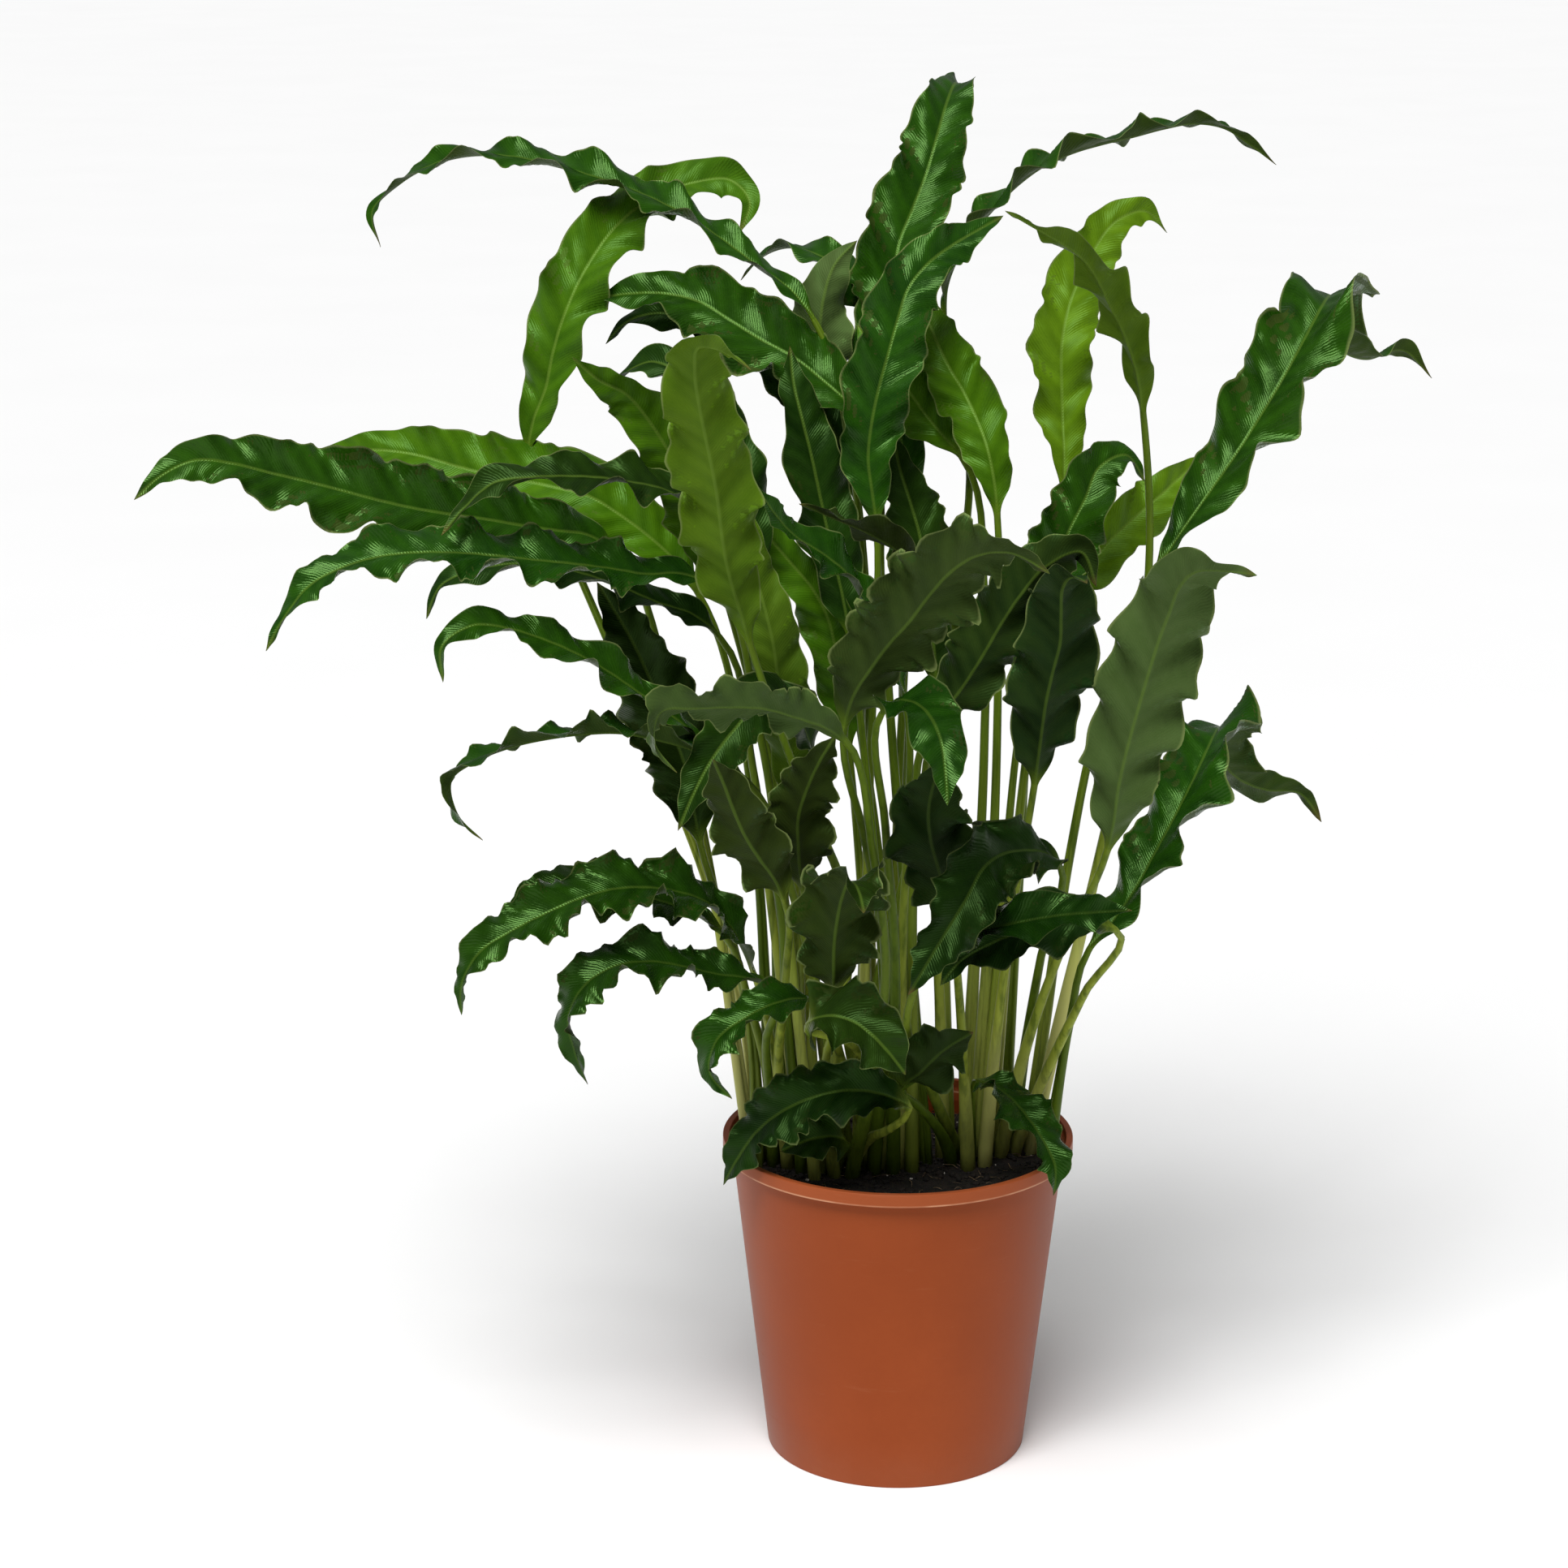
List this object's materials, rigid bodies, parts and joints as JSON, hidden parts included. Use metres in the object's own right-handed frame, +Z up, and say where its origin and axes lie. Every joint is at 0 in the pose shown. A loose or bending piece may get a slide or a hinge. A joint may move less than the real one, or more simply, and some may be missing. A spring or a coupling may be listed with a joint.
{
  "type": "potted calathea",
  "caption": "Wavy-leaved calathea: a clump of long ruffled leaves on thin stalks, growing in soil in a plain round tapered nursery pot.",
  "frame": {"origin": "middle of the pot's flat base, on the ground", "axes": "+Z up along the pot's turning axis; -Y is the front, towards the viewer; +X to the right seen from the front"},
  "size_m": [0.765, 0.47, 0.804],
  "materials": {
    "terracotta_plastic": "satin terracotta-coloured moulded plastic, lightly scuffed",
    "potting_soil": "dark moist potting soil of peat and bark with white specks",
    "leaf_fresh": "young bright green leaf, waxy",
    "leaf_lime": "yellow-green leaf, matt underside towards the front",
    "leaf_dark": "dark green glossy leaf with a pale midrib",
    "leaf_deep": "nearly black-green old leaf with a pale edge and a brown-green underside"
  },
  "bodies": {
    "root": {"pot": "terracotta_plastic", "soil": "potting_soil", "leaf_01": "leaf_dark", "leaf_02": "leaf_fresh", "leaf_03": "leaf_dark", "leaf_04": "leaf_deep", "leaf_05": "leaf_dark", "leaf_06": "leaf_deep", "leaf_07": "leaf_dark", "leaf_08": "leaf_deep", "leaf_09": "leaf_deep", "leaf_10": "leaf_fresh", "leaf_11": "leaf_lime", "leaf_12": "leaf_fresh", "leaf_13": "leaf_deep", "leaf_14": "leaf_lime", "leaf_15": "leaf_dark", "leaf_16": "leaf_dark", "leaf_17": "leaf_deep", "leaf_18": "leaf_dark", "leaf_19": "leaf_deep", "leaf_20": "leaf_dark", "leaf_21": "leaf_dark", "leaf_22": "leaf_fresh", "leaf_23": "leaf_fresh", "leaf_24": "leaf_deep", "leaf_25": "leaf_fresh", "leaf_26": "leaf_dark", "leaf_27": "leaf_lime", "leaf_28": "leaf_lime", "leaf_29": "leaf_lime", "leaf_30": "leaf_dark", "leaf_31": "leaf_deep", "leaf_32": "leaf_dark", "leaf_33": "leaf_deep", "leaf_34": "leaf_dark", "leaf_35": "leaf_deep", "leaf_36": "leaf_deep", "leaf_37": "leaf_deep", "leaf_38": "leaf_deep", "leaf_39": "leaf_dark", "leaf_40": "leaf_deep", "leaf_41": "leaf_deep", "leaf_42": "leaf_deep", "leaf_43": "leaf_dark", "leaf_44": "leaf_deep", "leaf_45": "leaf_deep", "leaf_46": "leaf_deep", "leaf_47": "leaf_deep", "leaf_48": "leaf_dark", "leaf_49": "leaf_dark", "leaf_50": "leaf_dark", "leaf_51": "leaf_dark", "leaf_52": "leaf_dark", "leaf_53": "leaf_deep", "leaf_54": "leaf_deep", "leaf_55": "leaf_deep", "leaf_56": "leaf_deep", "leaf_57": "leaf_dark"}
  },
  "joints": []
}
